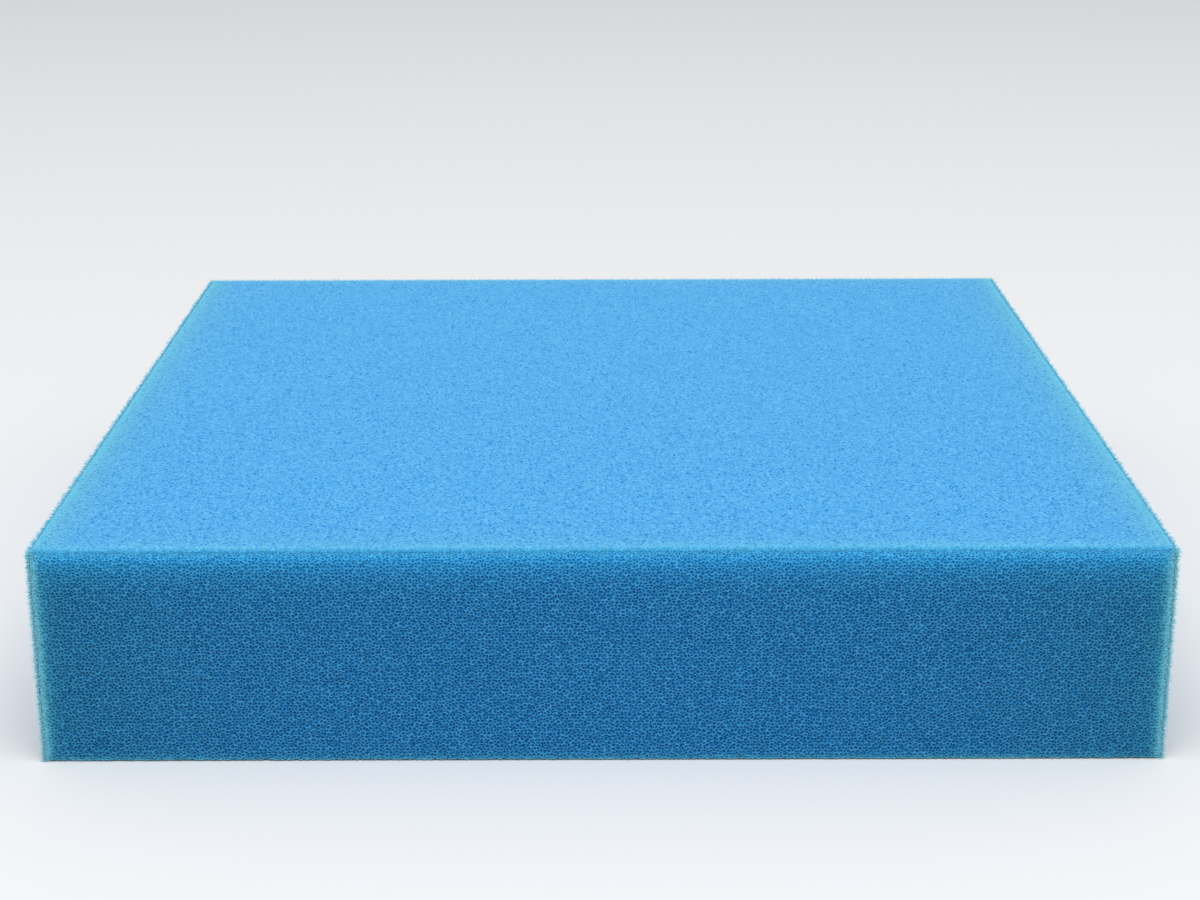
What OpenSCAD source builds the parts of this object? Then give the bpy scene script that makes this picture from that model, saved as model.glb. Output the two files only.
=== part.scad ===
// Pond filter foam: one block of open-cell (reticulated) polyurethane foam.
// All six faces are straight wire cuts with sharp edges, and the block lies on its largest face.
// It has no core, layers, holes, frame or fittings: it is pushed whole into a filter chamber.
// Millimetres, +Z up, X along the width, Y along the depth.
// The origin is at the centre of the underside.

/* [Block] */
// Width of the block, along X
block_w = 500; // [100:10:1000]
// Depth of the block, along Y
block_d = 500; // [100:10:1000]
// Thickness of the block, along Z
block_h = 100; // [20:5:200]

/* [Hidden] */
foam_blue = "#5ab2ea";

// The block as it comes off the wire cutter: a rectangular prism standing on Z = 0
module foam_block() {
    color(foam_blue)
        translate([-block_w / 2, -block_d / 2, 0])
            cube([block_w, block_d, block_h]);
}

foam_block();
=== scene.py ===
"""A block of blue open-cell pond filter foam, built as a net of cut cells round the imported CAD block.

Cell middles are strewn over the block's six faces. The Delaunay net between them says which cells
are neighbours, and the centroid of each of its triangles is a joint of the foam's rims. A cell is a
fan of triangles from the bottom of its pit to the rims round it, so that the skin is one closed net
with sharp rims, as the wire cutter leaves them. At the four upright edges the foam is thin enough to
see through: there a rounded core lies behind a web of separate struts.
"""
import math

import bpy
import numpy as np
from mathutils import Matrix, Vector
from mathutils.geometry import delaunay_2d_cdt


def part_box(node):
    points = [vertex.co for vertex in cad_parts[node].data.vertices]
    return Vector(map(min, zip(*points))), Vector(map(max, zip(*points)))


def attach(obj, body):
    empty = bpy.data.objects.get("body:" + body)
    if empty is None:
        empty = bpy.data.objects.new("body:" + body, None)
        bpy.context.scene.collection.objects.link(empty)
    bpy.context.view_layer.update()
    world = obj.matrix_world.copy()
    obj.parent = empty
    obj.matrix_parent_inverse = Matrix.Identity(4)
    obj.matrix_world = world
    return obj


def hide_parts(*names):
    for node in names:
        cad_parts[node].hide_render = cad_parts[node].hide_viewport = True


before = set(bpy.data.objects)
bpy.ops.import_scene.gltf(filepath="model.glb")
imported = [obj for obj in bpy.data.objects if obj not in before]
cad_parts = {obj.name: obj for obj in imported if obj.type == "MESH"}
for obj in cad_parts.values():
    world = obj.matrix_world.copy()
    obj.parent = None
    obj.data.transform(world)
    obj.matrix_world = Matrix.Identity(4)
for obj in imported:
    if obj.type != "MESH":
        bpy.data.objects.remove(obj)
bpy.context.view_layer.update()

MM = 0.001
NODE = "foam_block"
low, high = (np.array(corner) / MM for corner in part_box(NODE))
TOUCH = 1e-6                 # two places nearer than this are the same,
NET_TOUCH = 1e-9             # and for the Delaunay net, nearer than this
random = np.random.default_rng(20)

# Cells. Lengths are in millimetres, and a pair is the least and the most.
CELL = 1.50                  # about 17 cells to the inch
UNDERSIDE_CELL = 3.2         # the face that the block lies on has wider cells, to save triangles
UNDERSIDE = 4                # faces are numbered -X, +X, -Y, +Y, underside, top
SCATTER = 0.43               # how far a cell's middle strays, as a share of the cell
PIT_DEPTH = (1.1, 1.8)
PIT_ASIDE = 0.2              # how far the bottom of a pit may lie out of its middle
RIM_DROP = (0.0, 0.3)        # how far a rim's joint lies below the face
BROKEN_RIM = 0.12            # share of the joints that the cutter tore away,
BROKEN_DROP = (0.3, 0.7)     # and how far down those lie

# Edges. A core or a web has its radii on plan, at the top and at the base.
CORE = (4.0, 5.0, 0.3)
WEB = (0.5, 5.0, 0.3)
WEB_GAP = 0.15               # the web ends where the core comes this close to the web's own face
WEB_HEIGHT = (0.3, 1.0)      # how far out its joints lie, as a share of the way to that face
WEB_SHARE = 0.45             # share of its struts that the cutter left
LAYER_GAP = 1.2              # where it is deeper than this, a second layer lies halfway down
HAIR_GAP = 0.4               # the top edges have only single struts, where the gap is over this
FOOT = 0.25                  # how deep a strut is rooted in the core
STUB = 0.8                   # how far the end of a cut strut may stray outwards, and again any way
STRUT_WIDTH = 0.20
STRUT_SPREAD = (0.7, 1.3)    # its width varies by these factors
STEEP = 0.7                  # a strut that rises more than this share of its length is steep

# A strut is a three-sided bar: corners 0 to 2 round its start, 3 to 5 round its end
BAR = [[0, 1, 4], [0, 4, 3], [1, 2, 5], [1, 5, 4], [2, 0, 3], [2, 3, 5], [0, 2, 1], [3, 4, 5]]
BAR_CORNERS = 6

# Light that soaks into the foam, painted into its colour as a paler, greener blue.
# Each depth is where it has fallen to one over e.
SIDE_GLOW = 3.1              # into a side from an upright edge,
SIDE_GLOW_START = 2.0        # beginning this far in,
SIDE_GLOW_MOST = 0.72        # and never more than this share
THIN_GLOW = 0.9              # share on the web's struts, which are lit all round
BASE_GLOW = 1.5              # up a side from the pale floor,
BASE_GLOW_MOST = 0.6         # and its share at the base
TOP_GLOW = 8.0               # down a side from the top edge,
TOP_GLOW_POWER = 1.3         # slowly at first and then faster
TOP_RIM_GLOW = 3.0           # into the top from its own edges
FADE = 10.0                  # a wider, greener fade on the top,
FADE_SHARE = (0.9, 0.4)      # strong from its -X and +X edges, weaker from its front and back,
SIDE_FADE = 80.0             # and a very wide one on the sides, from the upright edges,
SIDE_FADE_SHARE = 0.75       # with this share at its start

# What the material reads at a point: 0 is a bare strut, 1 the bottom of a pit, painted darker for its
# shade
PIT_PORE = (0.75, 1.15)
BROKEN_PORE = 0.25
STRUT_TO_PIT = (0.14, 0.42)  # the strut's colour ends and the pit's begins
DEEP_CELL = 1.2              # the deeper cells that show in a pit, in millimetres
DEEP_STRUT = (0.05, 0.16)    # half the width of a deeper strut, as a share of the cell: core, edge

LONE_STRUT_LIGHT_POWER = 3.0            # how steeply the struts' painted light rises with the light round them

NET_UNDERSIDE = 0.38         # the underside's scale in the flat net

# Studio. Lengths are in metres, apart from the lens and its sensor, which are in millimetres.
FLOOR_REACH = 30.0           # how far the paper reaches to each side,
FLOOR_SINK = 0.0003          # and how far it lies under the block
ROOM_LIGHT = 0.67            # strength of the even pale room
BOX_WIDTH, BOX_DEPTH = 5.0, 4.0
BOX_POWER = 170              # watts
BOX_PLACE = (0, -2.1, 4.5)   # above the floor in front of the block
SENSOR = 36
LENS = 68.97
FAR = 100                    # nothing beyond this is drawn
EYE = (-0.0004, -1.1833, 0.4447)              # where the camera stands
DOWN, SIDEWAYS, LEVEL = 17.80, 0.03, -0.17    # which way it looks, in degrees


# ---------------------------------------------------------------- foam net

def steps(start, end, pitch):
    """Middles of equal steps of about the given pitch from start to end, and the step's length."""
    count = max(1, round((end - start) / pitch))
    step = (end - start) / count
    return start + step * (np.arange(count) + 0.5), step


def cell_middles():
    """Points on the block's corners, along its twelve edges and over its six faces.

    Each is the middle of one square of a grid, moved at random by less than half a square, so that
    no two lie on each other."""
    ends = np.stack([low, high])
    corners = np.stack(np.meshgrid(*ends.T, indexing="ij"), -1).reshape(-1, 3)
    points = [corners]
    for axis in range(3):
        b, c = (axis + 1) % 3, (axis + 2) % 3
        for side_b in ends[:, b]:
            for side_c in ends[:, c]:
                at, step = steps(low[axis], high[axis], CELL)
                line = np.zeros((len(at), 3))
                line[:, axis] = at + random.uniform(-SCATTER, SCATTER, len(at)) * step
                line[:, b] = side_b
                line[:, c] = side_c
                points.append(line)
        for side in ends[:, axis]:
            pitch = UNDERSIDE_CELL if axis == 2 and side == low[2] else CELL
            at_b, step_b = steps(low[b], high[b], pitch)
            at_c, step_c = steps(low[c], high[c], pitch)
            grid = np.zeros((len(at_b), len(at_c), 3))
            stray = random.uniform(-SCATTER, SCATTER, grid.shape)
            grid[..., b] = at_b[:, None] + stray[..., b] * step_b
            grid[..., c] = at_c + stray[..., c] * step_c
            grid[..., axis] = side
            points.append(grid.reshape(-1, 3))
    return np.concatenate(points)


def neighbours(middles):
    """Delaunay triangles between the middles on each face, counterclockwise from outside, and the
    number of each one's face."""
    triangles, faces = [], []
    for axis in range(3):
        for side, plane in enumerate((low[axis], high[axis])):
            b, c = ((axis + 1) % 3, (axis + 2) % 3)[::1 if side else -1]
            mine = np.flatnonzero(np.abs(middles[:, axis] - plane) < TOUCH)
            made = delaunay_2d_cdt(middles[mine][:, [b, c]].tolist(), [], [], 0, NET_TOUCH)[2]
            triangles.append(mine[np.array(made)])
            faces.append(np.full(len(made), 2 * axis + side))
    return np.concatenate(triangles), np.concatenate(faces)


def borders(triangles):
    """Each edge of a closed net once: its start, its end, and the triangles on its left and right.

    Every edge stands twice in the list, once each way. Sorted by its ends, the two come together."""
    start = triangles.T.ravel()
    end = np.roll(triangles, -1, axis=1).T.ravel()
    owner = np.tile(np.arange(len(triangles)), 3)
    order = np.lexsort((start > end, np.maximum(start, end), np.minimum(start, end)))
    left, right = order[::2], order[1::2]
    return start[left], end[left], owner[left], owner[right]


def rounded(points, radii):
    """Points of the block carried onto the block with rounded edges, and the outward directions.

    A point's offset from the block shrunk by the radii, each part over its own radius, is brought
    to length one. The direction is that offset over the radii once more, as on an ellipsoid."""
    plan, top, base = radii
    radii_low = np.array([plan, plan, base])
    radii_high = np.array([plan, plan, top])
    heart = np.clip(points, low + radii_low, high - radii_high)
    radii = np.where(points < heart, radii_low, radii_high)
    out = (points - heart) / radii
    out /= np.linalg.norm(out, axis=1)[:, None]
    normal = out / radii
    return heart + out * radii, normal / np.linalg.norm(normal, axis=1)[:, None]


def from_upright(flat):
    """How far each point on the block's faces is from the nearest upright edge: the larger of its
    distances from the planes across X and across Y."""
    return np.minimum(flat - low, high - flat)[:, :2].max(axis=1)


def cut_cells(middles, net, face):
    """The skin: a pit for each cell, with rims that its neighbours share.

    A pit's bottom is the cell's middle, moved inwards and a little aside. A rim runs between the
    joints on both sides of a border, or over a tip where the border lies on an edge of the block.
    Each border gives one triangle to the pit at each of its ends, or two where there is a tip.
    Returns points, where they come from on the flat block, pore, upward share, triangles, their
    faces, and the joints' range."""
    joints = middles[net].mean(axis=1)
    start, end, left, right = borders(net)
    folded = face[left] != face[right]
    plain = ~folded
    tips = (middles[start[folded]] + middles[end[folded]]) / 2

    core, out = rounded(middles, CORE)
    depth = random.uniform(*PIT_DEPTH, len(core))
    joint_core, joint_out = rounded(joints, CORE)
    broken = random.random(len(joints)) < BROKEN_RIM
    drop = np.where(broken, random.uniform(*BROKEN_DROP, len(joints)),
                    random.uniform(*RIM_DROP, len(joints)))
    tip_core, tip_out = rounded(tips, CORE)
    aside = random.uniform(-PIT_ASIDE, PIT_ASIDE, core.shape)
    points = np.concatenate([core - out * depth[:, None] + aside,
                             joint_core - joint_out * drop[:, None], tip_core])
    # pore: how deep in a pit a point lies, which the material paints darker as the pit's shade
    pore = np.concatenate([random.uniform(*PIT_PORE, len(core)),
                           np.where(broken, BROKEN_PORE, 0.0), np.zeros(len(tips))])
    flat = np.concatenate([middles, joints, tips])
    upward = np.concatenate([out, joint_out, tip_out])[:, 2]

    first = len(core)
    tip = first + len(joints) + np.arange(len(tips))
    rim_left, rim_right = first + left, first + right
    fans = np.concatenate([
        np.stack([start[plain], rim_right[plain], rim_left[plain]], 1),
        np.stack([end[plain], rim_left[plain], rim_right[plain]], 1),
        np.stack([start[folded], rim_right[folded], tip], 1),
        np.stack([start[folded], tip, rim_left[folded]], 1),
        np.stack([end[folded], rim_left[folded], tip], 1),
        np.stack([end[folded], tip, rim_right[folded]], 1)])
    sides = (left[plain], left[plain], right[folded], left[folded], left[folded], right[folded])
    return points, flat, pore, upward, fans, face[np.concatenate(sides)], (first, first + len(joints))


def struts(a, b, width):
    """Three-sided bars from points a to points b, closed at both ends: corners and triangles.

    A bar's corners lie on two circles across its direction, at thirds of a turn from a random
    start, and width holds its widths at a and at b."""
    along = b - a
    along /= np.linalg.norm(along, axis=1)[:, None]
    helper = np.where(np.abs(along[:, 2:]) < STEEP, [[0.0, 0.0, 1.0]], [[1.0, 0.0, 0.0]])
    u = np.cross(along, helper)
    u /= np.linalg.norm(u, axis=1)[:, None]
    v = np.cross(along, u)
    turn = random.uniform(0, 2 * math.pi, len(a))[:, None] + np.arange(3) * (2 * math.pi / 3)
    ring = np.cos(turn)[..., None] * u[:, None] + np.sin(turn)[..., None] * v[:, None]
    thick = width[..., None, None] / 2
    corners = np.concatenate([a[:, None] + ring * thick[0], b[:, None] + ring * thick[1]], 1)
    first = np.arange(len(a))[:, None, None] * BAR_CORNERS
    return corners.reshape(-1, 3), (first + BAR).reshape(-1, 3)


def edge_web(middles, net, face):
    """The see-through web: its bars' corners and triangles, and the joint that each bar belongs to.

    A web joint lies on the line from the core to the web's own face. Struts run along the borders
    between such joints, in one layer or two, and from each joint's place on the core outwards to
    two proud stubs. Along the top edges there are only single stubs."""
    joints = middles[net].mean(axis=1)
    start, end, left, right = borders(net)
    folded = face[left] != face[right]
    tips = (middles[start[folded]] + middles[end[folded]]) / 2
    joint_core, joint_out = rounded(joints, CORE)
    tip_core = rounded(tips, CORE)[0]
    joint_web, web_out = rounded(joints, WEB)
    tip_web = rounded(tips, WEB)[0]
    gap = np.linalg.norm(joint_web - joint_core, axis=1)
    webbed = (gap > WEB_GAP) & (from_upright(joints) < CORE[0]) & (face < UNDERSIDE)

    height = random.uniform(*WEB_HEIGHT, len(joints))[:, None]
    outer = joint_core + (joint_web - joint_core) * height
    halfway = (joint_core + outer) / 2
    tip_outer = tip_core + (tip_web - tip_core) * random.uniform(*WEB_HEIGHT, len(tips))[:, None]
    rise = random.uniform(-STUB, STUB, (2, len(joints), 1))
    proud = joint_web + web_out * rise + random.uniform(-STUB, STUB, (2, *joints.shape))
    proud[..., 2] = proud[..., 2].clip(low[2], high[2])
    foot = joint_core - joint_out * FOOT

    kept = ~folded & (random.random(len(left)) < WEB_SHARE)
    rim = kept & webbed[left] & webbed[right]
    inner = rim & (gap[left] > LAYER_GAP) & (gap[right] > LAYER_GAP)
    over = webbed[left[folded]] & webbed[right[folded]]
    from_left, from_right = left[folded][over], right[folded][over]
    posts = np.flatnonzero(webbed)
    hairs = np.flatnonzero((gap > HAIR_GAP) & ~webbed & (face != UNDERSIDE))
    bars = [(outer[left[rim]], outer[right[rim]], left[rim]),
            (halfway[left[inner]], halfway[right[inner]], left[inner]),
            (proud[0, posts], foot[posts], posts),
            (proud[1, posts], foot[posts], posts),
            (proud[0, hairs], foot[hairs], hairs),
            (outer[from_left], tip_outer[over], from_left),
            (outer[from_right], tip_outer[over], from_right)]
    a, b, joint = (np.concatenate([bar[n] for bar in bars]) for n in range(3))
    width = STRUT_WIDTH * random.uniform(*STRUT_SPREAD, (2, len(a)))
    return *struts(a, b, width), joint


def edge_light(flat, thin):
    """Painted light: how much light comes in through an edge near each point, as three shares from 0 to
    1.

    Each share falls off as one over e to the distance over the depth that light reaches. The first
    is on the sides, from the upright edges and a little from the base. The second is on all faces
    but the underside, from the top edges. The third is the wide fade over the top and the sides."""
    gap = np.minimum(flat - low, high - flat)
    on_top = high[2] - flat[:, 2] < TOUCH
    inward = gap[:, :2].min(axis=1)
    below = high[2] - flat[:, 2]
    from_side = np.exp((SIDE_GLOW_START - from_upright(flat)) / SIDE_GLOW).clip(0, SIDE_GLOW_MOST)
    from_base = BASE_GLOW_MOST * np.exp(-(flat[:, 2] - low[2]) / BASE_GLOW)
    sides = np.where(on_top, 0, np.maximum(from_side, from_base))
    from_top = np.where(on_top, np.exp(-inward / TOP_RIM_GLOW),
                        np.exp(-(below / TOP_GLOW) ** TOP_GLOW_POWER))
    across = np.where(on_top, (FADE_SHARE * np.exp(-gap[:, :2] / FADE)).max(axis=1),
                      SIDE_FADE_SHARE * np.exp(-from_upright(flat) / SIDE_FADE))
    return np.maximum(sides, THIN_GLOW * thin), from_top, across


def net_of_box(flat, faces):
    """Each corner's place in one flat net of the block's six faces, from 0 to 1.

    The top fills the net's corner, the four sides lie beside it, and the underside is drawn small."""
    width, depth, height = high - low
    x, y, z = (flat - low).T
    places = [(width + z, y), (width + height + z, y), (x, depth + z), (x, depth + height + z),
              (width + x * NET_UNDERSIDE, depth + y * NET_UNDERSIDE), (x, y)]
    u = np.choose(faces, [place[0] for place in places])
    v = np.choose(faces, [place[1] for place in places])
    return np.stack([u, v], 1) / (width + 2 * height)


def make_foam():
    """The foam block as one mesh, in metres: the skin and the web of its edges, with sharp rims."""
    middles = cell_middles()
    net, face = neighbours(middles)
    points, flat, pore, upward, fans, fan_face, rims = cut_cells(middles, net, face)
    corners, bars, joint = edge_web(middles, net, face)
    bar_flat = np.repeat(middles[net].mean(axis=1)[joint], BAR_CORNERS, axis=0)
    thin = np.concatenate([np.zeros(len(points)), from_upright(bar_flat) < CORE[0]])
    triangles = np.concatenate([fans, bars + len(points)])
    faces = np.concatenate([fan_face, np.repeat(face[joint], len(BAR))])
    upward = np.concatenate([upward, rounded(bar_flat, CORE)[1][:, 2]]).clip(0, 1)
    pore = np.concatenate([pore, np.zeros(len(corners))])
    points = np.concatenate([points, corners])
    flat = np.concatenate([flat, bar_flat])

    mesh = bpy.data.meshes.new("foam")
    mesh.vertices.add(len(points))
    mesh.vertices.foreach_set("co", (points * MM).astype(np.float32).ravel())
    mesh.loops.add(triangles.size)
    mesh.loops.foreach_set("vertex_index", triangles.astype(np.int32).ravel())
    mesh.polygons.add(len(triangles))
    mesh.polygons.foreach_set("loop_start", np.arange(len(triangles), dtype=np.int32) * 3)
    mesh.update(calc_edges=True)
    ends = np.zeros(len(mesh.edges) * 2, np.int32)
    mesh.edges.foreach_get("vertices", ends)
    ends = ends.reshape(-1, 2)
    sharp = ((ends >= rims[0]) & (ends < rims[1])).all(axis=1)
    mesh.attributes.new("sharp_edge", "BOOLEAN", "EDGE").data.foreach_set("value", sharp)
    uv = net_of_box(flat[triangles.ravel()], np.repeat(faces, 3))
    mesh.uv_layers.new(name="OFBake").uv.foreach_set("vector", uv.astype(np.float32).ravel())
    # cell holds pore, random tone and upward share; edge holds the shares of painted edge light
    for name, values in {"cell": (pore, random.random(len(points)), upward),
                         "edge": edge_light(flat, thin)}.items():
        data = mesh.attributes.new(name, "FLOAT_VECTOR", "POINT").data
        data.foreach_set("vector", np.stack(values, 1).astype(np.float32).ravel())
    piece = bpy.data.objects.new("foam_body", mesh)
    bpy.context.scene.collection.objects.link(piece)
    return piece


# ---------------------------------------------------------------- materials

def linear(code):
    """sRGB hex to a linear RGBA colour."""
    channels = [int(code[n:n + 2], 16) / 255 for n in (0, 2, 4)]
    return [c / 12.92 if c <= 0.04045 else ((c + 0.055) / 1.055) ** 2.4 for c in channels] + [1.0]


def node(tree, kind, links=(), **settings):
    """Adds a node: settings are its properties, links gives input name or number a value or socket."""
    made = tree.nodes.new(kind)
    for name, value in settings.items():
        setattr(made, name, value)
    for key, value in dict(links).items():
        if isinstance(value, bpy.types.NodeSocket):
            tree.links.new(value, made.inputs[key])
        else:
            made.inputs[key].default_value = value
    return made


def mix(tree, share, first, second):
    """The colour that lies at the given share from the first to the second; hex or socket."""
    ends = [linear(colour) if isinstance(colour, str) else colour for colour in (first, second)]
    return node(tree, "ShaderNodeMix", {0: share, 6: ends[0], 7: ends[1]}, data_type="RGBA").outputs[2]


def foam_material():
    """Reticulated polyurethane foam: dyed, foamed, its cell windows burnt out, then cut by a hot wire.

    What is left is a net of matt struts. The eye gets pale rims over dark pits, the next layer of
    struts dimly inside the pits, and a paler, greener blue where light soaks in through an edge. The
    colours paint much of this light and shade: the pits darker for their shade, the top paler for the
    light that falls on it, and the edges paler and greener for the light that soaks in."""
    material = bpy.data.materials.new("reticulated_polyurethane_foam")
    material.use_nodes = True
    tree = material.node_tree
    tree.nodes.clear()
    cell = node(tree, "ShaderNodeAttribute", attribute_name="cell").outputs["Vector"]
    pore, tone, upward = node(tree, "ShaderNodeSeparateXYZ", {0: cell}).outputs
    # the edge shares paint the light that soaks in through the edges into the colour
    edge = node(tree, "ShaderNodeAttribute", attribute_name="edge").outputs["Vector"]
    from_side, from_top, across = node(tree, "ShaderNodeSeparateXYZ", {0: edge}).outputs
    place = node(tree, "ShaderNodeTexCoord").outputs["Object"]
    deeper = node(tree, "ShaderNodeTexVoronoi", {"Vector": place, "Scale": 1 / (DEEP_CELL * MM)},
                  feature="DISTANCE_TO_EDGE").outputs["Distance"]
    inside = node(tree, "ShaderNodeMapRange",
                  {0: deeper, 1: DEEP_STRUT[0], 2: DEEP_STRUT[1], 3: 1.0, 4: 0.0}).outputs[0]
    # pit: the share of the pit's painted shade colours over the rim's
    pit = node(tree, "ShaderNodeMapRange", {0: pore, 1: STRUT_TO_PIT[0], 2: STRUT_TO_PIT[1]},
               interpolation_type="SMOOTHSTEP").outputs[0]

    # The sides: each rim has its own tone, a pit is painted dark for its shade and its deeper struts
    # are little paler than that, and both turn a little greener towards the upright edges and clear
    # blue below the top edge, light soaking in that is painted into the colour
    rim = mix(tree, across, mix(tree, tone, "257dae", "4aa1d5"), "3385a3")
    dark = mix(tree, across, mix(tree, inside, "00589b", "027dbb"), "01628f")
    side_rim = mix(tree, from_top, rim, "4ac3f4")
    side_pit = mix(tree, from_top, dark, "2eaff3")
    side = mix(tree, pit, side_rim, side_pit)
    # The top, painted as a paler, lit copy of the sides' colours: light falls straight into the pits
    # and the struts scatter it, so all is paler, and it turns to a painted green-blue in the wide fade
    # and to a painted pale blue at the edge itself
    top_rim = mix(tree, across, mix(tree, tone, "4fa8e0", "75c7ef"), "7cc2cc")
    top_pit = mix(tree, across, mix(tree, inside, "0f77c1", "2894d8"), "40a2c0")
    top = mix(tree, pit, mix(tree, from_top, top_rim, "7edef4"), mix(tree, from_top, top_pit, "4ccafa"))
    # The upright edges: a painted green-blue glow of light soaking in, and struts painted nearly white
    # where they stand alone, for the light round them
    painted_glow = mix(tree, from_side, side, "42b2c9")
    lone_strut_light = node(tree, "ShaderNodeMath", {0: from_side, 1: LONE_STRUT_LIGHT_POWER}, operation="POWER").outputs[0]
    # faces turned up take the top's painted lit colours, faces turned aside the sides' ones
    colour = mix(tree, upward, mix(tree, lone_strut_light, painted_glow, "b0f4ff"), top)
    shader = node(tree, "ShaderNodeBsdfPrincipled",
                  {"Base Color": colour, "Roughness": 0.6, "Specular IOR Level": 0.15})
    node(tree, "ShaderNodeOutputMaterial", {0: shader.outputs[0]})
    return material


def floor_material():
    """Matt studio paper: pale, even and without any shine."""
    material = bpy.data.materials.new("studio_paper")
    material.use_nodes = True
    shader = material.node_tree.nodes["Principled BSDF"]
    shader.inputs["Base Color"].default_value = linear("ebebea")
    shader.inputs["Roughness"].default_value = 1.0
    shader.inputs["Specular IOR Level"].default_value = 0.0
    return material


# ---------------------------------------------------------------- scene

def make_floor():
    """A square of paper just under the block, so wide that its end shows only in level views."""
    quarters = [(-1, -1), (1, -1), (1, 1), (-1, 1)]
    corners = [(x * FLOOR_REACH, y * FLOOR_REACH, -FLOOR_SINK) for x, y in quarters]
    mesh = bpy.data.meshes.new("floor")
    mesh.from_pydata(corners, [], [(0, 1, 2, 3)])
    mesh.materials.append(floor_material())
    floor = bpy.data.objects.new("floor", mesh)
    bpy.context.scene.collection.objects.link(floor)


def make_lights():
    """An even pale room, and one large soft box that points straight down from a little in front."""
    world = bpy.data.worlds.new("studio")
    bpy.context.scene.world = world
    world.use_nodes = True
    background = world.node_tree.nodes["Background"]
    background.inputs["Color"].default_value = linear("f3f6fb")
    background.inputs["Strength"].default_value = ROOM_LIGHT
    light = bpy.data.lights.new("softbox", "AREA")
    light.shape = "RECTANGLE"
    light.size = BOX_WIDTH
    light.size_y = BOX_DEPTH
    light.energy = BOX_POWER
    box = bpy.data.objects.new("softbox", light)
    bpy.context.scene.collection.objects.link(box)
    box.location = BOX_PLACE


def make_camera():
    """A camera in front of the block, looking down on it a little, as the part is best shown."""
    camera = bpy.data.cameras.new("camera")
    camera.sensor_width = SENSOR
    camera.lens = LENS
    camera.clip_end = FAR
    made = bpy.data.objects.new("camera", camera)
    bpy.context.scene.collection.objects.link(made)
    turn = (Matrix.Rotation(math.radians(SIDEWAYS), 4, "Z")
            @ Matrix.Rotation(math.radians(90 - DOWN), 4, "X")
            @ Matrix.Rotation(math.radians(LEVEL), 4, "Z"))
    made.matrix_world = Matrix.Translation(EYE) @ turn
    bpy.context.scene.camera = made


bpy.context.scene.view_settings.view_transform = "Standard"
foam = make_foam()
foam.data.materials.append(foam_material())
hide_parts(NODE)
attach(foam, "root")
make_floor()
make_lights()
make_camera()
